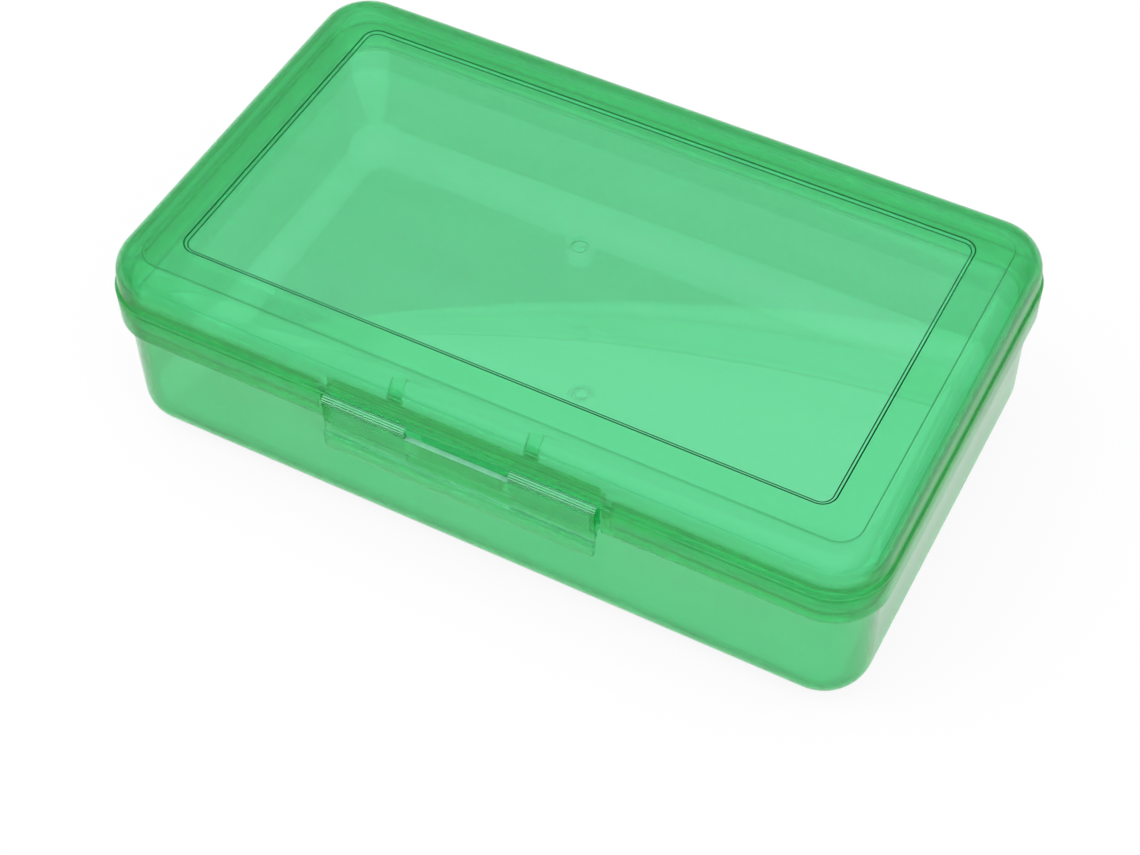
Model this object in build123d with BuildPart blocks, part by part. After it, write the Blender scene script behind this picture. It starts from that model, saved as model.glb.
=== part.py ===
from build123d import *
import math
import os

# Transparent pencil case: a deep tray, a shallow lid on a thin moulded back hinge, and a snap flap that hangs
# from the lid's front edge on two thin hinge webs and hooks under a catch on the tray.
# Millimetres, +Z up. The origin is on the tray's underside, at the middle of its plan. The flap faces -Y.

# Overall plan and heights
case_length = 200.0
case_width = 117.5
case_height = 56.3
corner_radius = 14.0
wall = 1.8

# Tray: the rim band stands out from the wall below it and takes the lid's skirt inside
seam_height = 44.4
band_height = 8.5
band_step = 1.9
tray_edge_radius = 9.2
small_edge = 0.4

# Lid: a low lip, a drafted wall and a broad rounded edge up to a flat top with a sunk panel, and two ribs
# and a tapered rail inside its front edge
lip_height = 1.2
lip_step = 0.6
lid_draft = 4.0
lid_edge_radius = 7.0
panel_end_margin = 16.1
panel_side_margin = 14.7
panel_corner_radius = 4.0
panel_depth = 0.5
panel_slope = 1.2
rib_width = 3.3
rib_spacing = 35.0
rib_depth = 1.1
rail_depth = 2.4
rail_height = 5.0

# Gaps between the lid and the tray
seam_gap = 0.15
skirt_clearance = 0.25
skirt_foot_gap = 0.3
skirt_shoulder = 1.7

# Snap flap: a plate in front of the rim, a flared finger lip, two side flanges and a hook behind
flap_width = 70.5
flap_thickness = 1.4
flap_height = 15.3
flap_rear_gap = 0.1
finger_lip_height = 5.3
finger_lip_flare = 0.8
flap_corner_radius = 1.2
flange_thickness = 1.5
flange_depth = 1.6
flange_top_gap = 0.4
notch_clearance = 0.7
hook_width = 27.2
hook_reach = 1.3
hook_height = 2.2
hook_tip = 0.6
catch_width = 21.7
catch_height = 4.6
catch_nose = 1.0
catch_gap = 0.3

# Thin hinge webs, drawn as round beads on their own turning axes, and the window between the flap's two webs
window_width = 26.8
window_drop = 1.2
flap_web_radius = 0.45
flap_web_clearance = 0.1
flap_axis_offset = 0.6
back_web_radius = 0.5
back_web_clearance = 0.15
back_web_end_margin = 2.0

# Moulding gate marks
gate_ring_radius = 2.2
gate_ring_width = 0.6
gate_ring_depth = 0.3

# Worked out from the sizes above
front_face = -case_width / 2
back_face = case_width / 2
band_bottom = seam_height - band_height
ledge_height = band_bottom + wall
tray_inner_inset = band_step + wall
lid_bottom = seam_height + seam_gap
lip_top = lid_bottom + lip_height
skirt_foot = ledge_height + skirt_foot_gap
skirt_top = lid_bottom + skirt_shoulder
skirt_outer_inset = wall + skirt_clearance
lid_inner_inset = lip_step + wall
lid_round = min(lid_edge_radius, case_height - lip_top - small_edge)
notch_width = flap_width + 2 * notch_clearance
latch_block_width = notch_width + 2 * wall
skirt_gap_width = latch_block_width + 2 * skirt_foot_gap
flap_rear = front_face - flap_rear_gap
flap_front = flap_rear - flap_thickness
flap_axis_y = front_face - flap_axis_offset
flap_axis_z = lid_bottom - flap_axis_offset
flap_top = flap_axis_z - flap_web_radius - flap_web_clearance
flap_bottom = flap_top - flap_height
finger_lip_top = flap_bottom + finger_lip_height
hook_face = band_bottom - catch_gap
back_axis_y = back_face + back_web_radius + back_web_clearance
back_axis_z = seam_height + seam_gap / 2
back_web_length = case_length - 2 * (corner_radius + back_web_end_margin)


def plan_outline(inset, mode=Mode.ADD):
    """The rim's rounded plan outline, drawn in by an inset."""
    RectangleRounded(
        case_length - 2 * inset,
        case_width - 2 * inset,
        corner_radius - inset,
        mode=mode,
    )


def inset_of(point):
    """How far a plan point lies inside the rim's outline."""
    across = abs(point.X) - (case_length / 2 - corner_radius)
    along = abs(point.Y) - (case_width / 2 - corner_radius)
    outside = math.hypot(max(across, 0), max(along, 0))
    return corner_radius - outside - min(max(across, along), 0)


def ring_edges(part, height, inset, tolerance=0.02):
    """The edges of a part that run round the case at one height and one inset."""
    return part.edges().filter_by(
        lambda edge: abs((edge @ 0.5).Z - height) < tolerance
        and abs(inset_of(edge @ 0.5) - inset) < tolerance
        and abs((edge @ 0).Z - (edge @ 1).Z) < tolerance
    )


# Tray
with BuildPart() as tray:
    # Lower body and its inside, with a broad rounded edge all round the floor
    with BuildSketch(Plane.XY):
        plan_outline(band_step)
    extrude(amount=seam_height)
    with BuildSketch(Plane.XY.offset(wall)):
        plan_outline(tray_inner_inset)
    extrude(amount=seam_height - wall, mode=Mode.SUBTRACT)
    fillet(ring_edges(tray, wall, tray_inner_inset), radius=tray_edge_radius - wall)
    fillet(ring_edges(tray, 0, band_step), radius=tray_edge_radius)

    # Rim band, standing out from the wall
    with BuildSketch(Plane.XY.offset(band_bottom)):
        plan_outline(0)
        plan_outline(tray_inner_inset, mode=Mode.SUBTRACT)
    extrude(amount=band_height)
    fillet(ring_edges(tray, band_bottom, 0), radius=small_edge)

    # Pocket in the rim for the lid's skirt, left solid behind the latch
    with BuildSketch(Plane.XY.offset(ledge_height)):
        plan_outline(wall)
        with Locations((0, front_face + tray_inner_inset / 2)):
            Rectangle(latch_block_width, tray_inner_inset, mode=Mode.SUBTRACT)
    extrude(amount=seam_height - ledge_height, mode=Mode.SUBTRACT)

    # Notch in the front of the band, where the flap sits
    with BuildSketch(Plane.XY.offset(band_bottom)):
        with Locations((0, front_face)):
            Rectangle(notch_width, 2 * band_step)
    extrude(amount=band_height, mode=Mode.SUBTRACT)

    # Catch that the hook snaps under
    with BuildSketch(Plane.YZ):
        with BuildLine():
            Polyline(
                (front_face + band_step + wall / 2, band_bottom),
                (front_face, band_bottom),
                (front_face, band_bottom + catch_nose),
                (front_face + band_step, band_bottom + catch_height),
                (front_face + band_step + wall / 2, band_bottom + catch_height),
                close=True,
            )
        make_face()
    extrude(amount=catch_width / 2, both=True)

    # Gate mark: a shallow ring in the middle of the underside
    with BuildSketch(Plane.XY):
        Circle(gate_ring_radius)
        Circle(gate_ring_radius - gate_ring_width, mode=Mode.SUBTRACT)
    extrude(amount=gate_ring_depth, mode=Mode.SUBTRACT)
tray.part.label = "tray"

# Lid
with BuildPart() as lid:
    # Lip that meets the rim
    with BuildSketch(Plane.XY.offset(lid_bottom)):
        plan_outline(0)
    extrude(amount=lip_height)

    # Drafted wall and the inside one wall thickness within it, both with a broad rounded top edge
    with BuildSketch(Plane.XY.offset(lip_top)):
        plan_outline(lip_step)
    extrude(amount=case_height - lip_top, taper=lid_draft)
    with BuildSketch(Plane.XY.offset(lid_bottom)):
        plan_outline(lid_inner_inset)
    extrude(amount=case_height - wall - lid_bottom, taper=lid_draft, mode=Mode.SUBTRACT)
    ceiling = lid.faces().filter_by(Plane.XY).sort_by(Axis.Z)[-2]
    fillet(ceiling.edges(), radius=lid_round - wall)

    # Two upright ribs that stiffen the front wall above the latch
    with BuildSketch(Plane.XY.offset(lid_bottom)):
        with Locations((0, front_face + lid_inner_inset + (rib_depth - wall / 2) / 2)):
            with GridLocations(rib_spacing, 0, 2, 1):
                Rectangle(rib_width, rib_depth + wall / 2)
    extrude(amount=case_height - wall / 2 - lid_bottom)

    # Tapered rail inside the front edge, as wide as the flap that hangs from it
    with BuildSketch(Plane.YZ):
        with BuildLine():
            Polyline(
                (front_face + lid_inner_inset - wall / 2, lid_bottom),
                (front_face + lid_inner_inset + rail_depth, lid_bottom),
                (front_face + lid_inner_inset, lid_bottom + rail_height),
                (front_face + lid_inner_inset - wall / 2, lid_bottom + rail_height),
                close=True,
            )
        make_face()
    extrude(amount=flap_width / 2, both=True)

    # Broad outer edge round the top, and a small one round the lip
    fillet(lid.edges().group_by(Axis.Z)[-1], radius=lid_round)
    fillet(ring_edges(lid, lip_top, 0), radius=small_edge)

    # Skirt that drops into the rim, open behind the latch, with a sloping shoulder inside
    with BuildSketch(Plane.XY.offset(skirt_foot)):
        plan_outline(skirt_outer_inset)
        plan_outline(tray_inner_inset, mode=Mode.SUBTRACT)
        with Locations((0, front_face + tray_inner_inset / 2)):
            Rectangle(skirt_gap_width, tray_inner_inset + 2 * wall, mode=Mode.SUBTRACT)
    extrude(amount=skirt_top - skirt_foot)
    chamfer(ring_edges(lid, skirt_top, tray_inner_inset), length=band_step - lip_step - skirt_clearance)

    # Sunk panel with sloping sides
    with BuildSketch(Plane.XY.offset(case_height)):
        RectangleRounded(
            case_length - 2 * panel_end_margin,
            case_width - 2 * panel_side_margin,
            panel_corner_radius,
        )
    with BuildSketch(Plane.XY.offset(case_height - panel_depth)):
        RectangleRounded(
            case_length - 2 * (panel_end_margin + panel_slope),
            case_width - 2 * (panel_side_margin + panel_slope),
            panel_corner_radius - panel_slope,
        )
    loft(ruled=True, mode=Mode.SUBTRACT)

    # Gate mark: a shallow ring in the middle of the panel
    with BuildSketch(Plane.XY.offset(case_height - panel_depth)):
        Circle(gate_ring_radius)
        Circle(gate_ring_radius - gate_ring_width, mode=Mode.SUBTRACT)
    extrude(amount=-gate_ring_depth, mode=Mode.SUBTRACT)
lid.part.label = "lid"

# Snap flap
with BuildPart() as latch_flap:
    # Plate, stepping out to the finger lip at its foot, with the window cut down into its top
    with BuildSketch(Plane.YZ):
        with BuildLine():
            Polyline(
                (flap_rear, flap_top),
                (flap_front, flap_top),
                (flap_front, finger_lip_top + finger_lip_flare),
                (flap_front - finger_lip_flare, finger_lip_top),
                (flap_front - finger_lip_flare, flap_bottom),
                (flap_rear - finger_lip_flare, flap_bottom),
                (flap_rear - finger_lip_flare, finger_lip_top),
                (flap_rear, finger_lip_top + finger_lip_flare),
                close=True,
            )
        make_face()
    extrude(amount=flap_width / 2, both=True)
    with BuildSketch(Plane.XY.offset(flap_top)):
        with Locations((0, flap_rear)):
            Rectangle(window_width, 2 * flap_thickness)
    extrude(amount=-window_drop, mode=Mode.SUBTRACT)
    foot_corners = latch_flap.edges().filter_by(Axis.Y).group_by(Axis.Z)[0]
    fillet(foot_corners, radius=flap_corner_radius)

    # Side flanges that reach into the notch
    with BuildSketch(Plane.XY.offset(band_bottom)):
        with Locations((0, flap_rear + flange_depth / 2 - flap_thickness / 4)):
            with GridLocations(flap_width - flange_thickness, 0, 2, 1):
                Rectangle(flange_thickness, flange_depth + flap_thickness / 2)
    extrude(amount=flap_top - flange_top_gap - band_bottom)

    # Hook that catches under the tray's catch
    with BuildSketch(Plane.YZ):
        with BuildLine():
            Polyline(
                (flap_rear - flap_thickness / 2, hook_face),
                (flap_rear + hook_reach, hook_face),
                (flap_rear + hook_reach, hook_face - hook_tip),
                (flap_rear, hook_face - hook_height),
                (flap_rear - flap_thickness / 2, hook_face - hook_height),
                close=True,
            )
        make_face()
    extrude(amount=hook_width / 2, both=True)
latch_flap.part.label = "latch_flap"

# Two webs that carry the flap, one each side of the window above the hook
web_length = (flap_width - window_width) / 2
web_centre = (flap_width + window_width) / 4
with BuildPart() as latch_web_left:
    with BuildSketch(Plane.YZ.offset(-web_centre - web_length / 2)):
        with Locations((flap_axis_y, flap_axis_z)):
            Circle(flap_web_radius)
    extrude(amount=web_length)
latch_web_left.part.label = "latch_web_left"

with BuildPart() as latch_web_right:
    with BuildSketch(Plane.YZ.offset(web_centre - web_length / 2)):
        with Locations((flap_axis_y, flap_axis_z)):
            Circle(flap_web_radius)
    extrude(amount=web_length)
latch_web_right.part.label = "latch_web_right"

# Web along the back seam, which joins the lid to the tray
with BuildPart() as back_hinge_web:
    with BuildSketch(Plane.YZ.offset(-back_web_length / 2)):
        with Locations((back_axis_y, back_axis_z)):
            Circle(back_web_radius)
    extrude(amount=back_web_length)
back_hinge_web.part.label = "back_hinge_web"

os.makedirs("parts", exist_ok=True)
for piece in (tray, lid, latch_flap, latch_web_left, latch_web_right, back_hinge_web):
    export_step(piece.part, f"parts/{piece.part.label}.step")

print("lid axis", round(back_axis_y, 3), round(back_axis_z, 3))
print("flap axis", round(flap_axis_y, 3), round(flap_axis_z, 3))
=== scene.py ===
import math

import bmesh
import bpy
from bpy.props import FloatProperty, FloatVectorProperty, PointerProperty
from mathutils import Matrix, Vector


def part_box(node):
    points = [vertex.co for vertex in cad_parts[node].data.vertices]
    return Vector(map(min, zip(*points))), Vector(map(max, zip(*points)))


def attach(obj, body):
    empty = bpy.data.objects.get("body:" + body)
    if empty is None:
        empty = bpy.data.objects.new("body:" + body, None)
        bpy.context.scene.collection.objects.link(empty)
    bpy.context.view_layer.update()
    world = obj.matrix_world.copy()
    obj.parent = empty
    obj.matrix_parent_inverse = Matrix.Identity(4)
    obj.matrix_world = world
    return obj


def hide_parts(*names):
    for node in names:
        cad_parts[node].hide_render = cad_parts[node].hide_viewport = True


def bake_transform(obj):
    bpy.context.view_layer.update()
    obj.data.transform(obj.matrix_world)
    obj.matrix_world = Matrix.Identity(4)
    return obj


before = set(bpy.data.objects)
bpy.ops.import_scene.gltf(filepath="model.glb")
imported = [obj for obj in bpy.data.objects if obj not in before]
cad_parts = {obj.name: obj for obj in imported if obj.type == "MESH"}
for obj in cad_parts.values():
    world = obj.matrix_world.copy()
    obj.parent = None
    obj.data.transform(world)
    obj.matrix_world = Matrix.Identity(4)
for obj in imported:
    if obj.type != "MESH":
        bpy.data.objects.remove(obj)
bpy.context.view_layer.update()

bl_info = {
    "name": "See-through pencil case",
    "version": (1, 0, 0),
    "blender": (4, 5, 0),
    "location": "3D View > Sidebar > Pencil Case",
    "description": "Builds a clear green snap-shut pencil case round its CAD frame",
    "category": "Add Mesh",
}

MM = 0.001

# Where the CAD pieces stand, in metres
TRAY_LOW, TRAY_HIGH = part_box("tray")
LID_LOW, LID_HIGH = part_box("lid")
FLAP_LOW, FLAP_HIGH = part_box("latch_flap")
WEB_LOW, WEB_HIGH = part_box("latch_web_right")
BACK_WEB_LOW, BACK_WEB_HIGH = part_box("back_hinge_web")
CASE_LENGTH = TRAY_HIGH[0] - TRAY_LOW[0]
CASE_WIDTH = TRAY_HIGH[1] - TRAY_LOW[1]
SEAM = TRAY_HIGH[2]
CASE_TOP = LID_HIGH[2]
SKIRT_FOOT = LID_LOW[2]
FRONT = TRAY_LOW[1]
BACK = TRAY_HIGH[1]

# Mesh limits: nearer points are merged, shorter edges go, and sharper turns show as creases
MERGE_REACH = 0.002 * MM
SLIVER_REACH = 0.001 * MM
CREASE_ANGLE = math.radians(48)

WHITE = (1.0, 1.0, 1.0, 1.0)


def length(name, default, description):
    """A size in metres that the sidebar shows."""
    return FloatProperty(
        name=name, default=default, description=description, min=0.0, unit="LENGTH", precision=5
    )


def colour(name, default, description):
    """A colour, as linear light, that the sidebar shows."""
    return FloatVectorProperty(
        name=name, default=default, description=description, size=3, subtype="COLOR", min=0.0, max=1.0
    )


class CaseShape(bpy.types.PropertyGroup):
    """Sizes that the tray and the lid share."""

    corner: length("Corner radius", 14.0 * MM, "Radius of the rim's plan corners")
    wall: length("Wall", 1.8 * MM, "Thickness of the mouldings")
    soft_edge: length("Soft edge", 0.3 * MM, "Rounding of the small edges")
    band_height: length("Band height", 8.5 * MM, "Height of the tray's rim band")
    band_step: length("Band step", 1.9 * MM, "How far the rim band stands out from the wall")
    tray_edge: length("Tray edge radius", 9.2 * MM, "Outer radius round the tray's underside")
    lip_height: length("Lip height", 1.2 * MM, "Height of the lid's lip")
    lip_step: length("Lip step", 0.6 * MM, "How far the lip stands out from the lid's wall")
    seam_gap: length("Seam gap", 0.15 * MM, "Gap between the tray's rim and the lid")
    draft: FloatProperty(
        name="Draft", default=math.radians(4.0), description="Lean of the lid's wall", subtype="ANGLE"
    )
    lid_edge: length("Lid edge radius", 7.0 * MM, "Outer radius round the lid's top")
    skirt_clearance: length("Skirt clearance", 0.25 * MM, "Gap between the skirt and the rim")
    skirt_shoulder: length("Skirt shoulder", 1.7 * MM, "Height of the skirt's root above the seam")
    panel_end: length("Panel end margin", 16.1 * MM, "From the case's end to the sunk panel")
    panel_side: length("Panel side margin", 14.7 * MM, "From the case's side to the sunk panel")
    panel_corner: length("Panel corner radius", 4.0 * MM, "Radius of the panel's corners")
    panel_depth: length("Panel depth", 0.5 * MM, "How deep the panel is sunk")
    panel_slope: length("Panel slope", 1.2 * MM, "Width of the panel's stepped side")
    top_bend: length("Top bend", 0.34 * MM, "Width of the tight bend along the panel's top edge")
    foot_bend: length("Foot bend", 0.3 * MM, "Width of the bend along the panel's foot")
    rib_width: length("Rib width", 3.3 * MM, "Width of each upright rib in the lid")
    rib_spacing: length("Rib spacing", 35.0 * MM, "Distance between the two ribs")
    rib_depth: length("Rib depth", 1.1 * MM, "How far a rib stands in from the wall")
    rib_reach: FloatProperty(
        name="Rib reach", default=0.72, description="How far a rib runs round the lid's rounded edge",
        min=0.0, max=1.0,
    )
    rail_depth: length("Rail depth", 2.4 * MM, "How far the rail over the latch stands in")
    rail_height: length("Rail height", 5.0 * MM, "Height over which the rail fades into the wall")
    gate_radius: length("Gate ring radius", 2.2 * MM, "Outer radius of the moulding gate rings")
    gate_width: length("Gate ring width", 0.6 * MM, "Width of the gate ring's groove")
    gate_depth: length("Gate ring depth", 0.3 * MM, "Depth of the gate ring's groove")


class LatchShape(bpy.types.PropertyGroup):
    """Sizes of the flap, its notch and its hinge webs."""

    notch_clearance: length("Notch clearance", 0.7 * MM, "Room beside the flap in the band's notch")
    thickness: length("Flap thickness", 1.4 * MM, "Thickness of the flap's plate")
    finger_lip: length("Finger lip height", 5.3 * MM, "Height of the flared lip at the flap's foot")
    flare: length("Flare", 0.8 * MM, "How far the finger lip steps out")
    foot_corner: length("Foot corner radius", 1.2 * MM, "Radius of the flap's lower corners")
    flange_thickness: length("Flange thickness", 1.5 * MM, "Thickness of the flap's end flanges")
    flange_depth: length("Flange depth", 1.6 * MM, "How far the flanges reach back")
    flange_top_gap: length("Flange top gap", 0.4 * MM, "From the flap's top edge to the flange")
    hook_width: length("Hook width", 27.2 * MM, "Width of the hook behind the flap")
    hook_reach: length("Hook reach", 1.3 * MM, "How far the hook reaches under the catch")
    hook_height: length("Hook height", 2.2 * MM, "Height of the hook's root")
    hook_tip: length("Hook tip", 0.6 * MM, "Height of the hook's blunt tip")
    catch_width: length("Catch width", 21.7 * MM, "Width of the tray's catch")
    catch_height: length("Catch height", 4.6 * MM, "Height of the tray's catch")
    catch_nose: length("Catch nose", 1.0 * MM, "Height of the catch's blunt nose")
    catch_gap: length("Catch gap", 0.3 * MM, "Gap between the hook and the catch")
    window_drop: length("Window drop", 1.2 * MM, "How far the window is cut down into the flap's top")
    window_width: length("Window width", 26.8 * MM, "Width of the window between the hinge webs")
    web_thickness: length("Web thickness", 0.42 * MM, "Thickness of the flap's hinge webs")
    web_groove: length("Web groove depth", 0.1 * MM, "Depth of the fine grooves along the flap's webs")
    groove_depth: length("Groove depth", 0.18 * MM, "Depth of the fine grooves across the flap's top")
    groove_width: length("Groove width", 0.3 * MM, "Width of the fine grooves")
    back_web_thickness: length("Back web thickness", 0.4 * MM, "Thickness of the back hinge web")


class PlasticLook(bpy.types.PropertyGroup):
    """Colour and finish of the clear plastic."""

    tint: colour("Body tint", (0.0, 0.872, 0.468), "What the plastic lets through, deep inside it")
    # Painted shade: tints of the lines painted along the sunk panel's top edge (tight bend, darker) and foot
    # (slack bend, paler), standing in for light that these bends turn aside
    tight_bend_shade: colour("Tight bend", (0.18, 0.47, 0.33), "What is left of light that meets a tight bend")
    slack_bend_shade: colour("Slack bend", (0.45, 0.80, 0.66), "What is left of light that meets a slack bend")
    depth: FloatProperty(
        name="Tint depth", default=500.0, description="How fast the tint deepens, per metre", min=0.0
    )
    streak: colour("Streaks", (0.84, 0.97, 0.90), "Tint of the faint streaks that run along the mould")
    bent: FloatProperty(
        name="Bent light", default=0.6, min=0.0, max=1.0,
        description="Share of light that the walls bend as a thick pane does",
    )
    web_bent: FloatProperty(
        name="Bent light in webs", default=0.15, description="Share of light that the thin webs bend",
        min=0.0, max=1.0,
    )
    # Colour of the dull trimmed edges and groove floors, and of the painted shade band along the lid's
    # ceiling edge
    dull_edge_and_shade_line: colour("Cut edge", (0.27, 0.75, 0.45), "Colour of the dull edges and groove floors")
    mirror: FloatProperty(
        name="Mirror", default=0.02, description="Share reflected by a face seen straight on",
        min=0.0, max=1.0,
    )
    grazing: FloatProperty(
        name="Grazing mirror", default=0.35, description="Share reflected by a face seen edge on",
        min=0.0, max=1.0,
    )
    gloss: FloatProperty(
        name="Polish", default=0.02, description="Roughness of the polished faces", min=0.0, max=1.0
    )
    scuff: FloatProperty(
        name="Scuffs", default=0.22, description="Roughness of the rubbed spots", min=0.0, max=1.0
    )
    ripple: length("Ripple", 0.005 * MM, "Height of the slow waves in the moulded faces")


class StageSetup(bpy.types.PropertyGroup):
    """Camera, floor and lamps."""

    azimuth: FloatProperty(
        name="Azimuth", default=math.radians(26.906), description="Round from the front", subtype="ANGLE"
    )
    elevation: FloatProperty(
        name="Elevation", default=math.radians(49.098), description="Up from level", subtype="ANGLE"
    )
    roll: FloatProperty(
        name="Roll", default=math.radians(0.35), description="Tilt about the sight line", subtype="ANGLE"
    )
    distance: length("Distance", 578.56 * MM, "From the case's foot to the camera along its sight line")
    aim_right: length("Aim right", 9.2 * MM, "How far right of the case's foot the camera stands")
    aim_up: length("Aim up", 12.09 * MM, "How far above the case's foot the camera stands")
    lens: FloatProperty(name="Lens", default=71.89, description="Focal length", unit="CAMERA")
    shift_x: FloatProperty(name="Shift X", default=-0.0418, description="Sideways shift of the frame")
    shift_y: FloatProperty(name="Shift Y", default=-0.0674, description="Upright shift of the frame")
    floor_white: FloatProperty(
        name="Floor white", default=0.9, description="Share of the floor that shows as plain white",
        min=0.0, max=1.0,
    )


# Mesh building


def softened(path, setbacks, steps):
    """A path with each inner corner rounded by an arc, which starts and ends one setback from it.

    Two corners that are too close for their setbacks share the way between them in the same ratio.
    """
    usable = 0.98
    points = [Vector(path[0])]
    for index in range(1, len(path) - 1):
        before, corner, after = (Vector(path[index + k]) for k in (-1, 0, 1))
        inward, outward = corner - before, after - corner
        room_before = usable * inward.length / (setbacks[index - 1] + setbacks[index])
        room_after = usable * outward.length / (setbacks[index] + setbacks[index + 1])
        reach = setbacks[index] * min(1.0, room_before, room_after)
        start = corner - inward.normalized() * reach
        end = corner + outward.normalized() * reach
        weight = math.cos(inward.angle(outward, 0.0) / 2)
        for step in range(steps[index] + 1):
            t = step / steps[index]
            parts = ((1 - t) ** 2, 2 * weight * t * (1 - t), t ** 2)
            total = sum(parts)
            points.append((start * parts[0] + corner * parts[1] + end * parts[2]) / total)
    points.append(Vector(path[-1]))
    return points


def skinned(name, rings, ring_slots=None, side_slots=None):
    """A closed mesh through rings of equally many points, with its first and last ring filled.

    The faces after a ring numbered in ring_slots, or after a point of the rings numbered in side_slots,
    take the material slot given there.
    """
    ring_slots, side_slots = ring_slots or {}, side_slots or {}
    mesh = bpy.data.meshes.new(name)
    work = bmesh.new()
    rows = [[work.verts.new(point) for point in ring] for ring in rings]
    count = len(rows[0])
    for number, (row, following) in enumerate(zip(rows, rows[1:])):
        for k in range(count):
            m = (k + 1) % count
            face = work.faces.new((row[k], row[m], following[m], following[k]))
            face.material_index = ring_slots.get(number, side_slots.get(k, 0))
    work.faces.new(rows[0])
    work.faces.new(rows[-1])
    bmesh.ops.remove_doubles(work, verts=work.verts, dist=MERGE_REACH)
    bmesh.ops.dissolve_degenerate(work, edges=work.edges, dist=SLIVER_REACH)
    bmesh.ops.recalc_face_normals(work, faces=work.faces)
    for face in work.faces:
        face.smooth = True
    for edge in work.edges:
        edge.smooth = edge.calc_face_angle(0.0) < CREASE_ANGLE
    work.to_mesh(mesh)
    work.free()
    piece = bpy.data.objects.new(name, mesh)
    bpy.context.collection.objects.link(piece)
    return piece


class PlanRing:
    """The stations round the case where its section is set, and the plan outlines that pass through them."""

    def __init__(self, corner, breaks):
        self.flat_x = CASE_LENGTH / 2 - corner
        self.flat_y = CASE_WIDTH / 2 - corner
        self.corner = corner
        self.stations = []
        turns = 12
        quarters = [self.flat_y * k / 2 for k in range(-2, 3)]
        eighths = [self.flat_x * k / 4 for k in range(-4, 5)]
        self._straight("front", [-self.flat_x, *breaks, self.flat_x])
        self._turn(1, -1, -90, turns)
        self._straight("right", quarters)
        self._turn(1, 1, 0, turns)
        self._straight("back", eighths[::-1])
        self._turn(-1, 1, 90, turns)
        self._straight("left", quarters[::-1])
        self._turn(-1, -1, 180, turns)

    def _straight(self, side, places):
        self.stations += [(side, place) for place in places]

    def _turn(self, sign_x, sign_y, start, turns):
        for k in range(1, turns):
            angle = math.radians(start + 90 * k / turns)
            self.stations.append(((sign_x, sign_y), angle))

    def point(self, station, half_x, half_y, corner, height):
        """Where a rounded rectangle of these half sizes passes a station."""
        side, place = station
        reach_x, reach_y = half_x - corner, half_y - corner
        if side in ("front", "back"):
            # The outermost stations go with the corners, and those between keep their place
            share = place / self.flat_x
            outermost = abs(share) >= 0.999
            x = share * reach_x if outermost else max(-reach_x, min(reach_x, place))
            return Vector((x, -half_y if side == "front" else half_y, height))
        if side in ("left", "right"):
            y = place / self.flat_y * reach_y
            return Vector((-half_x if side == "left" else half_x, y, height))
        x = side[0] * reach_x + corner * math.cos(place)
        y = side[1] * reach_y + corner * math.sin(place)
        return Vector((x, y, height))

    def inset(self, station, inset, height):
        """Where the case's own outline, drawn in by an inset, passes a station."""
        half_x, half_y = CASE_LENGTH / 2 - inset, CASE_WIDTH / 2 - inset
        return self.point(station, half_x, half_y, self.corner - inset, height)

    def outline(self, half_x, half_y, corner, height):
        """A whole rounded rectangle, one point at each station."""
        return [self.point(station, half_x, half_y, corner, height) for station in self.stations]

    def circle(self, radius, height):
        """A circle about the middle, one point at each station."""
        ring = []
        for station in self.stations:
            at = self.inset(station, 0.0, 0.0)
            ring.append(at.normalized() * radius + Vector((0, 0, height)))
        return ring

    def lofted(self, section_at):
        """Rings through a section that may differ from station to station."""
        sections = [section_at(station) for station in self.stations]
        rings = []
        for k in range(len(sections[0])):
            rings.append([
                self.inset(station, section[k].x, section[k].y)
                for station, section in zip(self.stations, sections)
            ])
        return rings


def gate_rings(plan, shape, height, inward):
    """Rings that run from a flat face into the shallow circular groove left by the moulding gate."""
    outer = shape.gate_radius
    inner = shape.gate_radius - shape.gate_width
    surround = outer * 2
    floor = height + inward * shape.gate_depth
    bevel = shape.gate_depth / 3
    return [
        plan.circle(surround, height),
        plan.circle(outer + bevel, height),
        plan.circle(outer, height + inward * bevel),
        plan.circle(outer - bevel, floor),
        plan.circle(inner + bevel, floor),
        plan.circle(inner, height + inward * bevel),
        plan.circle(inner - bevel, height),
    ]


def mirrored(*places):
    """The places and their mirror images about the middle."""
    return [sign * place for sign in (-1, 1) for place in places]


def beside(place, blend):
    """Stations just before and after a place where the section changes, and their mirror images."""
    return mirrored(place - blend / 2, place + blend / 2)


# Shader building


class Wire:
    """A socket that stands in Python expressions. Each operator adds the Math node it means."""

    def __init__(self, tree, socket):
        self.tree = tree
        self.socket = socket

    def _math(self, operation, first, second):
        node = self.tree.nodes.new("ShaderNodeMath")
        node.operation = operation
        for slot, value in zip(node.inputs, (first, second)):
            plug(self.tree, slot, value)
        return Wire(self.tree, node.outputs[0])

    def __add__(self, other):
        return self._math("ADD", self, other)

    def __radd__(self, other):
        return self._math("ADD", other, self)

    def __mul__(self, other):
        return self._math("MULTIPLY", self, other)

    def __rmul__(self, other):
        return self._math("MULTIPLY", other, self)

    def __pow__(self, other):
        return self._math("POWER", self, other)

    def __rpow__(self, other):
        return self._math("POWER", other, self)


def plug(tree, slot, value):
    """Links a wire into a socket, or sets the socket's value."""
    if isinstance(value, Wire):
        tree.links.new(value.socket, slot)
    else:
        slot.default_value = value


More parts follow.
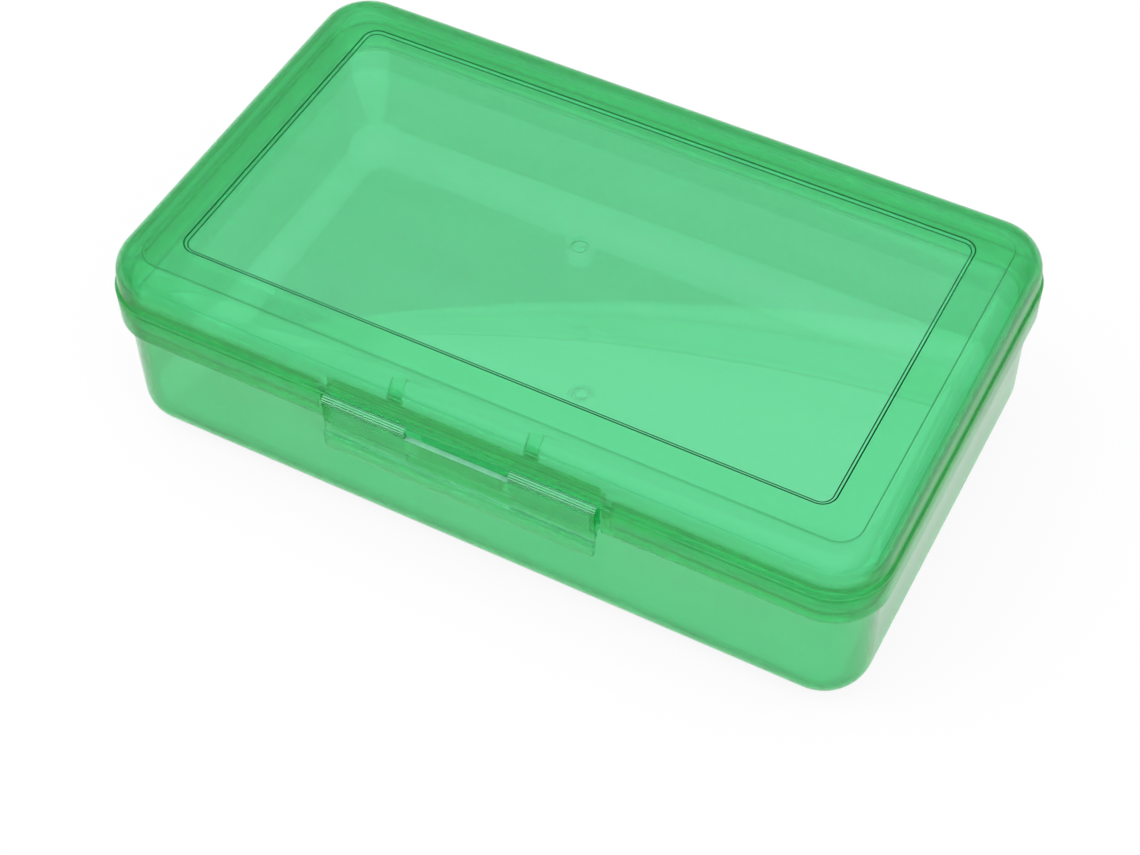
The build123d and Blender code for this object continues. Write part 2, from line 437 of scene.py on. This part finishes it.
class Bench:
    """A node tree being built."""

    def __init__(self, holder):
        holder.use_nodes = True
        self.tree = holder.node_tree
        self.tree.nodes.clear()

    def add(self, kind, settings=None, sockets=None):
        """Adds a node with its settings, then its sockets' values or links. Gives its outputs by name."""
        node = self.tree.nodes.new(kind)
        for name, value in (settings or {}).items():
            if name == "stops":
                ramp = node.color_ramp
                while len(ramp.elements) > 1:
                    ramp.elements.remove(ramp.elements[-1])
                ramp.elements[0].position, ramp.elements[0].color = value[0]
                for place, shade in value[1:]:
                    ramp.elements.new(place).color = shade
            else:
                setattr(node, name, value)
        usable = [slot for slot in node.inputs if slot.enabled]
        for name, value in (sockets or {}).items():
            slot = node.inputs[name] if isinstance(name, int) else next(s for s in usable if s.name == name)
            plug(self.tree, slot, value)
        return {slot.name: Wire(self.tree, slot) for slot in node.outputs if slot.enabled}


def start_plastic(name):
    """A new material, its node tree and the place on the piece that its patterns follow."""
    material = bpy.data.materials.new(name)
    bench = Bench(material)
    return material, bench, bench.add("ShaderNodeTexCoord")["Object"]


def finish_plastic(bench, look, surface):
    """Gives the surface the plastic's tinted inside, and the material its output."""
    inside = bench.add(
        "ShaderNodeVolumeAbsorption", {}, {"Color": (*look.tint, 1.0), "Density": look.depth}
    )["Volume"]
    bench.add("ShaderNodeOutputMaterial", {}, {"Surface": surface, "Volume": inside})


def clear_plastic(name, look, bent_share):
    """See-through green plastic: polished and slightly wavy, with rubbed spots and faint flow streaks."""
    material, bench, place = start_plastic(name)

    # Slow waves from cooling
    waves = bench.add("ShaderNodeTexNoise", {}, {"Vector": place, "Scale": 70.0, "Detail": 0.0})["Fac"]
    normal = bench.add("ShaderNodeBump", {}, {"Height": waves, "Distance": look.ripple})["Normal"]

    # Rubbed spots, drawn out into short scratches
    rubbing = bench.add(
        "ShaderNodeMapping", {"vector_type": "POINT"},
        {"Vector": place, "Rotation": (0.0, 0.0, math.radians(28)), "Scale": (1.0, 9.0, 3.0)},
    )["Vector"]
    rubbed = bench.add("ShaderNodeTexNoise", {}, {"Vector": rubbing, "Scale": 90.0, "Detail": 1.0})["Fac"]
    worn = bench.add(
        "ShaderNodeMapRange", {}, {"Value": rubbed, "From Min": 0.52, "From Max": 0.78}
    )["Result"]
    rough = look.gloss + worn * (look.scuff - look.gloss)

    # Faint deeper streaks where the plastic flowed along the mould
    flow = bench.add(
        "ShaderNodeMapping", {"vector_type": "POINT"}, {"Vector": place, "Scale": (3.0, 18.0, 6.0)}
    )["Vector"]
    streaks = bench.add("ShaderNodeTexNoise", {}, {"Vector": flow, "Scale": 9.0, "Detail": 1.0})["Fac"]
    flowed = bench.add(
        "ShaderNodeMix", {"data_type": "RGBA"},
        {"Factor": streaks, "A": WHITE, "B": (*look.streak, 1.0)},
    )["Result"]

    # Light that goes straight through a thin wall, with the gloss of its faces
    clear = bench.add("ShaderNodeBsdfTransparent", {}, {"Color": WHITE})["BSDF"]
    shine = bench.add(
        "ShaderNodeBsdfAnisotropic", {}, {"Color": WHITE, "Roughness": rough, "Normal": normal}
    )["BSDF"]
    tilt = bench.add("ShaderNodeLayerWeight", {}, {"Blend": 0.5, "Normal": normal})["Facing"]
    mirror = look.mirror + tilt ** 5.0 * (look.grazing - look.mirror)
    pane = bench.add("ShaderNodeMixShader", {}, {0: mirror, 1: clear, 2: shine})["Shader"]

    # Light that the walls, ribs and rounded edges bend
    bent = bench.add(
        "ShaderNodeBsdfPrincipled", {"distribution": "GGX"},
        {
            "Base Color": flowed,
            "Roughness": 0.0,
            "Normal": normal,
            "IOR": 1.49,
            "Transmission Weight": 1.0,
            "Specular IOR Level": 0.25,
        },
    )["BSDF"]
    surface = bench.add("ShaderNodeMixShader", {}, {0: bent_share, 1: pane, 2: bent})["Shader"]
    finish_plastic(bench, look, surface)
    return material


def painted_bend_shade_plastic(name, look, shade_tint):
    """The same plastic with a painted shade line: a fixed darker tint, unevenly thinned with clear, that
    stands in for light a bend would turn aside.
    """
    material, bench, place = start_plastic(name)
    uneven = bench.add("ShaderNodeTexNoise", {}, {"Vector": place, "Scale": 60.0, "Detail": 0.0})["Fac"]
    # Painted shade: the line's darker tint
    line = bench.add("ShaderNodeBsdfTransparent", {}, {"Color": (*shade_tint, 1.0)})["BSDF"]
    clear = bench.add("ShaderNodeBsdfTransparent", {}, {"Color": WHITE})["BSDF"]
    surface = bench.add("ShaderNodeMixShader", {}, {0: uneven * 0.35, 1: line, 2: clear})["Shader"]
    finish_plastic(bench, look, surface)
    return material


def dull_plastic(name, look):
    """The same plastic made dull, pale and mostly opaque, with uneven tool marks: on trimmed and finely
    grooved faces, and as a painted shade band along the lid's ceiling edge.
    """
    material, bench, place = start_plastic(name)
    along = bench.add(
        "ShaderNodeMapping", {"vector_type": "POINT"}, {"Vector": place, "Scale": (12.0, 2.0, 2.0)}
    )["Vector"]
    marks = bench.add("ShaderNodeTexNoise", {}, {"Vector": along, "Scale": 40.0, "Detail": 1.0})["Fac"]
    normal = bench.add("ShaderNodeBump", {}, {"Height": marks, "Distance": look.ripple / 2})["Normal"]
    dull = bench.add(
        "ShaderNodeBsdfPrincipled", {},
        {
            # Along the lid's ceiling edge this colour is a painted shade band
            "Base Color": (*look.dull_edge_and_shade_line, 1.0), "Roughness": 0.35 + marks * 0.3, "Normal": normal,
            "Specular IOR Level": 0.2,
        },
    )["BSDF"]
    clear = bench.add("ShaderNodeBsdfTransparent", {}, {"Color": WHITE})["BSDF"]
    surface = bench.add("ShaderNodeMixShader", {}, {0: 0.15 + marks * 0.3, 1: dull, 2: clear})["Shader"]
    finish_plastic(bench, look, surface)
    return material


def seen_directly(bench):
    """1 where the camera, a mirror or clear plastic looks straight at a surface, otherwise 0."""
    path = bench.add("ShaderNodeLightPath")
    seen = path["Is Camera Ray"] + path["Is Glossy Ray"] + path["Is Transmission Ray"]
    return bench.add("ShaderNodeClamp", {}, {"Value": seen})["Result"]


# Operators


class PENCILCASE_OT_tray(bpy.types.Operator):
    """Builds the tray with its rim band, skirt pocket, latch notch and catch"""

    bl_idname = "pencilcase.tray"
    bl_label = "Tray"

    def execute(self, context):
        shape, latch, look = context.scene.case_shape, context.scene.latch_shape, context.scene.plastic_look
        soft = shape.soft_edge
        step, wall = shape.band_step, shape.wall
        inner = step + wall
        band_foot = SEAM - shape.band_height
        ledge = band_foot + wall
        flat = step + shape.tray_edge + soft
        notch = (FLAP_HIGH[0] - FLAP_LOW[0]) / 2 + latch.notch_clearance
        block = notch + wall
        catch = latch.catch_width / 2
        nose = band_foot + latch.catch_nose
        catch_top = band_foot + latch.catch_height
        blend = 0.3 * MM

        def section_at(station):
            side, place = station
            near = abs(place) if side == "front" else CASE_LENGTH
            face = 0.0 if near > notch else step
            band = [(face, band_foot), (face, nose), (face, catch_top)]
            if face:
                band[0] = (face, band_foot + soft)
            if near < catch:
                band = [(0.0, band_foot), (0.0, nose), (step, catch_top)]
            pocket = [(wall, SEAM), (wall, ledge), (inner, ledge)]
            if near < block:
                # The pocket is filled here, so its points lie along the rim's flat top
                first = wall * (0.4 if face else 0.6)
                pocket = [(face + first, SEAM), (inner - wall * 0.3, SEAM), (inner, SEAM)]
            path = [(flat, 0.0), (step, 0.0), (step, band_foot), *band, (face, SEAM), *pocket]
            path += [(inner, wall), (flat, wall)]
            setbacks = [0, shape.tray_edge, soft, soft, soft, soft, soft, soft, soft, soft]
            setbacks += [shape.tray_edge - wall, 0]
            steps = [0, 12, 3, 3, 2, 2, 3, 3, 3, 3, 12, 0]
            return softened(path, setbacks, steps)

        # Stations where the front's section changes, and a few between
        breaks = [0.0, *beside(block, blend), *beside(notch, blend), *beside(catch, blend)]
        breaks += mirrored(24.0 * MM, 55.0 * MM, 70.0 * MM)
        plan = PlanRing(shape.corner, sorted(breaks))
        rings = gate_rings(plan, shape, 0.0, 1.0)[::-1] + plan.lofted(section_at)
        piece = skinned("tray_clear", rings)
        piece.data.materials.append(clear_plastic("tray_clear_plastic", look, look.bent))
        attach(piece, "base")
        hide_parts("tray")
        return {"FINISHED"}


class PENCILCASE_OT_lid(bpy.types.Operator):
    """Builds the lid with its lip, skirt, sunk panel, ribs and rail"""

    bl_idname = "pencilcase.lid"
    bl_label = "Lid"

    def execute(self, context):
        shape, latch, look = context.scene.case_shape, context.scene.latch_shape, context.scene.plastic_look
        soft = shape.soft_edge
        wall, lean = shape.wall, math.tan(shape.draft)
        foot = SEAM + shape.seam_gap
        lip_top = foot + shape.lip_height
        ceiling = CASE_TOP - wall
        hang_outer = wall + shape.skirt_clearance
        hang_inner = shape.band_step + wall
        inner_foot = shape.lip_step + wall
        half_turn = math.tan((math.pi / 2 - shape.draft) / 2)
        outer_setback = shape.lid_edge * half_turn
        inner_setback = (shape.lid_edge - wall) * half_turn
        shoulder = foot + shape.skirt_shoulder
        chamfer = shape.band_step - shape.lip_step - shape.skirt_clearance
        half_flap = (FLAP_HIGH[0] - FLAP_LOW[0]) / 2
        skirt_gap = blend = 0.3 * MM
        skirt_end = half_flap + latch.notch_clearance + wall + skirt_gap
        root_height = 0.8 * MM

        def outer_wall(height):
            return shape.lip_step + (height - lip_top) * lean

        def inner_wall(height):
            return inner_foot + (height - foot) * lean

        def raise_rib(points, inside, turns):
            """Lifts the inner wall of a section into a rib that thins out round the lid's rounded edge."""
            span, thinning = 3, 0.65
            last = len(points) - 1
            turn_start = last - 1 - turns
            lifted = [point.copy() for point in points]
            for k in range(inside, last):
                share = max(k - turn_start, 0) / turns
                if share < shape.rib_reach:
                    along = (points[min(k + span, last)] - points[k - span]).normalized()
                    lift = shape.rib_depth * (1 - thinning * share / shape.rib_reach)
                    lifted[k] = points[k] + Vector((along.y, -along.x)) * lift
            points[inside:] = lifted[inside:]

        # The rail's slope meets the leaning wall a little below its full height
        rail_share = shape.rail_depth / (shape.rail_depth + shape.rail_height * lean)
        rail_top = foot + shape.rail_height * rail_share
        flat = outer_wall(CASE_TOP) + outer_setback + soft

        def section_at(station):
            side, place = station
            near = abs(place) if side == "front" else CASE_LENGTH
            skirt = [
                (hang_outer, foot), (hang_outer, SKIRT_FOOT), (hang_inner, SKIRT_FOOT),
                (hang_inner, shoulder - chamfer),
                (inner_wall(shoulder + chamfer / 9), shoulder + chamfer / 9),
            ]
            if near < skirt_end:
                # No skirt here: its points lie along the lid's foot and up its inner wall
                skirt = [
                    (inner_foot * 0.5, foot), (inner_foot * 0.75, foot), (inner_foot, foot),
                    (inner_wall(foot + root_height), foot + root_height), (inner_wall(shoulder), shoulder),
                ]
            if near < half_flap:
                # Behind the flap they make the rail instead
                rail = inner_foot + shape.rail_depth
                middle = (foot + rail_top) / 2
                skirt = [
                    (inner_foot * 0.8, foot), (rail * 0.7, foot), (rail, foot),
                    ((rail + inner_wall(rail_top)) / 2, middle), (inner_wall(rail_top), rail_top),
                ]
            path = [
                (flat, CASE_TOP), (outer_wall(CASE_TOP), CASE_TOP), (shape.lip_step, lip_top),
                (0.0, lip_top), (0.0, foot), *skirt, (inner_wall(ceiling), ceiling), (flat, ceiling),
            ]
            setbacks = [0, outer_setback, soft, soft, soft, soft, soft, soft, 2 * soft, 2 * soft]
            setbacks += [inner_setback, 0]
            steps = [0, 12, 3, 3, 3, 3, 3, 3, 3, 3, 14, 0]
            points = softened(path, setbacks, steps)
            if abs(near - shape.rib_spacing / 2) < shape.rib_width / 2:
                raise_rib(points, sum(step + 1 for step in steps[1:9]) + 1, steps[10])
            return points

        # Stations where the front's section changes, and a few between
        breaks = [0.0, *beside(skirt_end, blend), *beside(half_flap, blend)]
        for half_rib in (-shape.rib_width / 2, shape.rib_width / 2):
            breaks += beside(shape.rib_spacing / 2 + half_rib, blend)
        breaks += mirrored(8.0 * MM, 27.0 * MM, 55.0 * MM, 70.0 * MM)
        plan = PlanRing(shape.corner, sorted(breaks))

        half_x = CASE_LENGTH / 2 - shape.panel_end
        half_y = CASE_WIDTH / 2 - shape.panel_side
        low = CASE_TOP - shape.panel_depth
        slope, top_bend, foot_bend = shape.panel_slope, shape.top_bend, shape.foot_bend
        dip = shape.panel_depth / 8
        least_corner = 0.5 * MM

        def panel(drawn_in, height):
            corner = max(shape.panel_corner - drawn_in, least_corner)
            return plan.outline(half_x - drawn_in, half_y - drawn_in, corner, height)

        # The panel's side, from its foot up to the lid's top, with a tight bend at each end. The first
        # and last ring stand a little off in the flat faces, so that these shade flat.
        panel_rings = [
            panel(slope + soft, low), panel(slope, low), panel(slope - foot_bend, low + dip),
            panel(top_bend, CASE_TOP - dip), panel(0.0, CASE_TOP), panel(-soft, CASE_TOP),
        ]
        gate = gate_rings(plan, shape, low, -1.0)[::-1]
        rings = gate + panel_rings + plan.lofted(section_at)
        # Painted shade: the panel's top edge and foot take the painted bend tints, and the flat band at the
        # ceiling's edge takes the dull pale plastic as a painted band
        foot_shade_strip, top_shade_strip, ceiling_shade_strip = len(gate) + 1, len(gate) + 3, len(rings) - 2
        piece = skinned("lid_clear", rings, {foot_shade_strip: 2, top_shade_strip: 1, ceiling_shade_strip: 3})
        piece.data.materials.append(clear_plastic("lid_clear_plastic", look, look.bent))
        piece.data.materials.append(painted_bend_shade_plastic("lid_tight_bend_painted_shade", look, look.tight_bend_shade))
        piece.data.materials.append(painted_bend_shade_plastic("lid_slack_bend_painted_shade", look, look.slack_bend_shade))
        piece.data.materials.append(dull_plastic("lid_ceiling_edge_painted_shade", look))
        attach(piece, "lid")
        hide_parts("lid")
        return {"FINISHED"}


class PENCILCASE_OT_flap(bpy.types.Operator):
    """Builds the snap flap with its finger lip, end flanges and hook"""

    bl_idname = "pencilcase.flap"
    bl_label = "Snap flap"

    def execute(self, context):
        shape, latch, look = context.scene.case_shape, context.scene.latch_shape, context.scene.plastic_look
        soft = shape.soft_edge
        half = (FLAP_HIGH[0] - FLAP_LOW[0]) / 2
        top, bottom = FLAP_HIGH[2], FLAP_LOW[2]
        lip_front = FLAP_LOW[1]
        front = lip_front + latch.flare
        rear = front + latch.thickness
        lip_rear = rear - latch.flare
        crease = bottom + latch.finger_lip
        band_foot = SEAM - shape.band_height
        hook_face = band_foot - latch.catch_gap
        flange_top = top - latch.flange_top_gap
        hook, window = latch.hook_width / 2, latch.window_width / 2
        hair = soft / 9
        blend = 0.1 * MM
        groove_drops = (0.35 * MM, 0.85 * MM)
        spare_drops = (1.0 * MM, 0.8 * MM)

        def front_grooves(crest, depth):
            """The two fine grooves across the flap's front, below its top edge."""
            half_groove = latch.groove_width / 2
            points = []
            for drop in groove_drops:
                middle = crest - drop
                points += [
                    (front, middle + half_groove), (front + depth, middle), (front, middle - half_groove)
                ]
            return points

        def ring_at(x):
            """The flap's outline at x. All have equally many points, so plain stretches hold spare ones."""
            near = abs(x)
            foot, crest, depth = bottom, top, latch.groove_depth
            if near < window:
                crest, depth = top - latch.window_drop, 0.0
            over = near - (half - latch.foot_corner)
            if over > 0:
                foot += latch.foot_corner - math.sqrt(max(latch.foot_corner ** 2 - over ** 2, 0.0))
            behind = [
                (rear, crease + latch.flare), (rear, hook_face - latch.hook_tip), (rear, hook_face),
                (rear, hook_face + soft), (rear, band_foot + soft),
                *((rear, flange_top - drop) for drop in spare_drops),
            ]
            if near < hook:
                tip = rear + latch.hook_reach
                behind[:4] = [
                    (rear, hook_face - latch.hook_height), (tip, hook_face - latch.hook_tip),
                    (tip, hook_face), (rear, hook_face),
                ]
            if near > half - latch.flange_thickness:
                reach = rear + latch.flange_depth
                behind[3:] = [(rear, band_foot), (reach, band_foot), (reach, flange_top), (rear, flange_top)]
            grooves = front_grooves(crest, depth)
            path = [
                ((front + rear) / 2, crest), (front, crest), *grooves, (front, crease + latch.flare),
                (lip_front, crease), (lip_front, foot), (lip_rear, foot), (lip_rear, crease), *behind,
                (rear, crest), ((front + rear) / 2 + hair, crest),
            ]
            fine, back = len(grooves), len(behind)
            setbacks = [0, soft / 2, *[hair] * fine, soft, soft, 2 * soft, 2 * soft, soft]
            setbacks += [*[soft / 2] * back, soft, 0]
            steps = [0, 3, *[1] * fine, 2, 2, 4, 4, 2, *[2] * back, 3, 0]
            return [(x, point.x, point.y) for point in softened(path, setbacks, steps)]

        places = [0.0, half - latch.flange_thickness - blend, half - latch.flange_thickness + blend]
        places += [window - 2 * blend, window - blend, hook, hook + blend, half - hair]
        # Closer stations round the lower corners
        for turn in (0, 25, 50, 70):
            places.append(half - latch.foot_corner * (1 - math.sin(math.radians(turn))))
        stations = sorted({round(x, 7) for x in mirrored(*places)})
        piece = skinned("latch_flap_clear", [ring_at(x) for x in stations])
        piece.data.materials.append(clear_plastic("flap_clear_plastic", look, look.bent))
        piece.data.materials.append(dull_plastic("flap_window_edge_plastic", look))
        facing_up = 0.8
        for face in piece.data.polygons:
            in_window = abs(face.center.x) < window and face.center.z > top - latch.window_drop - blend
            face.material_index = 1 if in_window and face.normal.z > facing_up else 0
        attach(piece, "latch")
        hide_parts("latch_flap")
        return {"FINISHED"}


def bent_strip(name, low_x, high_x, centre_line, thickness, groove_depth=0.0, groove_width=0.0):
    """A thin strip along X that follows a bent centre line, with a V groove outside each bend.

    Grooves are left out where they have no depth. Their faces take the strip's second material.
    """
    outer, inner, grooved = [], [], []
    for k, point in enumerate(centre_line):
        ahead = centre_line[min(k + 1, len(centre_line) - 1)]
        behind = centre_line[max(k - 1, 0)]
        along = (ahead - behind).normalized()
        across = Vector((-along.y, along.x))
        inner.append(point - across * thickness / 2)
        bend = 0 < k < len(centre_line) - 1
        if groove_depth and bend:
            for toward in (behind, ahead):
                lip = point + (toward - point).normalized() * groove_width / 2
                outer.append(lip + across * thickness / 2)
            outer.insert(-1, point + across * (thickness / 2 - groove_depth))
            grooved += [len(outer) - 3, len(outer) - 2]
        else:
            outer.append(point + across * thickness / 2)
    loop = outer + inner[::-1]
    steps = 12
    places = [low_x + (high_x - low_x) * k / steps for k in range(steps + 1)]
    rings = [[(x, point.x, point.y) for point in loop] for x in places]
    return skinned(name, rings, side_slots=dict.fromkeys(grooved, 1))


class PENCILCASE_OT_flap_webs(bpy.types.Operator):
    """Builds the two grooved webs that the flap bends on"""

    bl_idname = "pencilcase.flap_webs"
    bl_label = "Flap hinge webs"

    def execute(self, context):
        shape, latch, look = context.scene.case_shape, context.scene.latch_shape, context.scene.plastic_look
        front = FLAP_LOW[1] + latch.flare
        # In from the flap's front, up from the lid's foot, into each neighbour, and past the bend
        inset, lift, root, margin = 0.02 * MM, 0.05 * MM, 0.3 * MM, 0.1 * MM
        end = Vector((front + latch.web_thickness / 2 + inset, FLAP_HIGH[2]))
        start = Vector((FRONT, SEAM + shape.seam_gap + latch.web_thickness / 2 + lift))
        centre = Vector((start.x, end.y))
        reach = Vector((centre.x - end.x, start.y - centre.y))
        line = []
        facets = 4
        for k in range(facets + 1):
            angle = math.pi / 2 * k / facets
            line.append(centre + Vector((-reach.x * math.sin(angle), reach.y * math.cos(angle))))
        line = [start + Vector((root, 0.0)), *line, end - Vector((0.0, root))]
        plastic = clear_plastic("web_clear_plastic", look, look.web_bent)
        dull = dull_plastic("web_groove_plastic", look)
        for name, sign in (("latch_web_left", -1), ("latch_web_right", 1)):
            low, high = sorted((sign * WEB_LOW[0], sign * WEB_HIGH[0]))
            piece = bent_strip(
                f"{name}_clear", low, high, line[::-1], latch.web_thickness,
                latch.web_groove, latch.groove_width,
            )
            piece.data.materials.append(plastic)
            piece.data.materials.append(dull)
            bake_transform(piece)
            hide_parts(name)
        return {"FINISHED"}


class PENCILCASE_OT_back_web(bpy.types.Operator):
    """Builds the thin web along the back seam that the lid turns on"""

    bl_idname = "pencilcase.back_web"
    bl_label = "Back hinge web"

    def execute(self, context):
        shape, latch, look = context.scene.case_shape, context.scene.latch_shape, context.scene.plastic_look
        middle = SEAM + shape.seam_gap / 2
        # In from the solid's back, into each neighbour, and half the height that it spans
        inset, root, half_height = 0.02 * MM, 0.25 * MM, 0.62 * MM
        radius = BACK_WEB_HIGH[1] - BACK - latch.back_web_thickness / 2 - inset
        line = []
        steps = 20
        for k in range(steps + 1):
            angle = math.pi * k / steps
            line.append(Vector((BACK + radius * math.sin(angle), middle - half_height * math.cos(angle))))
        line = [line[0] - Vector((root, 0.0)), *line, line[-1] - Vector((root, 0.0))]
        piece = bent_strip(
            "back_hinge_web_clear", BACK_WEB_LOW[0], BACK_WEB_HIGH[0], line[::-1], latch.back_web_thickness
        )
        piece.data.materials.append(clear_plastic("back_web_clear_plastic", look, look.web_bent))
        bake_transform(piece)
        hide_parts("back_hinge_web")
        return {"FINISHED"}


class PENCILCASE_OT_stage(bpy.types.Operator):
    """Adds the pale floor, the soft lamps and the camera"""

    bl_idname = "pencilcase.stage"
    bl_label = "Floor, lamps and camera"

    def execute(self, context):
        setup = context.scene.stage_setup
        self.add_floor(context, setup)
        self.add_world(context)
        self.add_lamps(context)
        self.add_camera(context, setup)
        context.scene.view_settings.view_transform = "Standard"
        paths = context.scene.cycles
        paths.caustics_reflective = paths.caustics_refractive = False
        paths.transparent_max_bounces = 64
        paths.max_bounces = paths.transmission_bounces = 24
        return {"FINISHED"}

    def add_floor(self, context, setup):
        reach = 4.0
        drop = 0.1 * MM
        mesh = bpy.data.meshes.new("floor")
        corners = [(x * reach, y * reach, -drop) for x, y in ((-1, -1), (1, -1), (1, 1), (-1, 1))]
        mesh.from_pydata(corners, [], [(0, 1, 2, 3)])
        floor = bpy.data.objects.new("floor", mesh)
        context.collection.objects.link(floor)
        material = bpy.data.materials.new("pale_floor")
        bench = Bench(material)
        lit = bench.add("ShaderNodeBsdfDiffuse", {}, {"Color": (0.85, 0.85, 0.85, 1.0)})["BSDF"]
        glow = bench.add("ShaderNodeEmission", {}, {"Color": WHITE})["Emission"]
        share = seen_directly(bench) * setup.floor_white
        mixed = bench.add("ShaderNodeMixShader", {}, {0: share, 1: lit, 2: glow})["Shader"]
        bench.add("ShaderNodeOutputMaterial", {}, {"Surface": mixed})
        material.cycles.emission_sampling = "NONE"
        mesh.materials.append(material)

    def add_world(self, context):
        world = bpy.data.worlds.new("pale_room")
        context.scene.world = world
        bench = Bench(world)
        room = bench.add("ShaderNodeBackground", {}, {"Color": (0.95, 0.98, 1.0, 1.0), "Strength": 0.55})
        way = bench.add("ShaderNodeTexCoord")["Generated"]
        height = bench.add("ShaderNodeSeparateXYZ", {}, {"Vector": way})["Z"]
        wall = bench.add(
            "ShaderNodeValToRGB",
            {
                "stops": [
                    (0.0, (0.50, 0.52, 0.52, 1.0)),
                    (0.3, (0.72, 0.74, 0.74, 1.0)),
                    (0.7, (0.95, 0.96, 0.96, 1.0)),
                ],
            },
            {"Fac": height},
        )["Color"]
        white = bench.add("ShaderNodeBackground", {}, {"Color": wall, "Strength": 1.0})
        seen = seen_directly(bench)
        mixed = bench.add(
            "ShaderNodeMixShader", {}, {0: seen, 1: room["Background"], 2: white["Background"]}
        )["Shader"]
        bench.add("ShaderNodeOutputWorld", {}, {"Surface": mixed})

    def add_lamps(self, context):
        # Name, place, side and power of each
        lamps = (
            ("soft_key", (-0.75, -0.5, 1.2), 1.3, 12.0),
            ("soft_fill", (1.1, -0.4, 0.9), 1.1, 6.0),
            ("soft_top", (0.25, 0.0, 1.5), 1.2, 8.0),
        )
        for name, place, size, power in lamps:
            lamp = bpy.data.lights.new(name, "AREA")
            lamp.shape = "SQUARE"
            lamp.size = size
            lamp.energy = power
            holder = bpy.data.objects.new(name, lamp)
            context.collection.objects.link(holder)
            holder.location = place
            holder.visible_glossy = holder.visible_transmission = False
            holder.rotation_mode = "QUATERNION"
            holder.rotation_quaternion = (-Vector(place)).to_track_quat("-Z", "Y")

    def add_camera(self, context, setup):
        turn, rise = setup.azimuth, setup.elevation
        back = Vector((math.sin(turn) * math.cos(rise), -math.cos(turn) * math.cos(rise), math.sin(rise)))
        right = Vector((0.0, 0.0, 1.0)).cross(back).normalized()
        up = back.cross(right)
        tilt = Matrix.Rotation(setup.roll, 3, back)
        right, up = tilt @ right, tilt @ up
        lens = bpy.data.cameras.new("camera")
        lens.lens = setup.lens
        lens.sensor_width = 36.0
        lens.shift_x, lens.shift_y = setup.shift_x, setup.shift_y
        lens.clip_start, lens.clip_end = 0.01, 50.0
        camera = bpy.data.objects.new("camera", lens)
        context.collection.objects.link(camera)
        facing = Matrix((right, up, back)).transposed()
        camera.rotation_mode = "QUATERNION"
        camera.rotation_quaternion = facing.to_quaternion()
        camera.location = back * setup.distance + right * setup.aim_right + up * setup.aim_up
        context.scene.camera = camera


PIECES = ("tray", "lid", "flap", "flap_webs", "back_web", "stage")


class PENCILCASE_PT_sidebar(bpy.types.Panel):
    """Sidebar panel with the case's pieces and sizes"""

    bl_label = "Pencil Case"
    bl_idname = "PENCILCASE_PT_sidebar"
    bl_space_type = "VIEW_3D"
    bl_region_type = "UI"
    bl_category = "Pencil Case"

    def draw(self, context):
        for piece in PIECES:
            self.layout.operator(f"pencilcase.{piece}")
        for group in GROUPS:
            values = getattr(context.scene, group)
            box = self.layout.box()
            for name in values.bl_rna.properties.keys():
                if name not in {"rna_type", "name"}:
                    box.prop(values, name)


GROUPS = {
    "case_shape": CaseShape,
    "latch_shape": LatchShape,
    "plastic_look": PlasticLook,
    "stage_setup": StageSetup,
}
CLASSES = (
    CaseShape,
    LatchShape,
    PlasticLook,
    StageSetup,
    PENCILCASE_OT_tray,
    PENCILCASE_OT_lid,
    PENCILCASE_OT_flap,
    PENCILCASE_OT_flap_webs,
    PENCILCASE_OT_back_web,
    PENCILCASE_OT_stage,
    PENCILCASE_PT_sidebar,
)


def register():
    """Registers the classes and hangs the sizes on the scene."""
    for part in CLASSES:
        bpy.utils.register_class(part)
    for name, group in GROUPS.items():
        setattr(bpy.types.Scene, name, PointerProperty(type=group))


def unregister():
    """Takes everything off again."""
    for name in GROUPS:
        delattr(bpy.types.Scene, name)
    for part in reversed(CLASSES):
        bpy.utils.unregister_class(part)


def main():
    register()
    for piece in PIECES:
        getattr(bpy.ops.pencilcase, piece)()


if __name__ == "__main__":
    main()
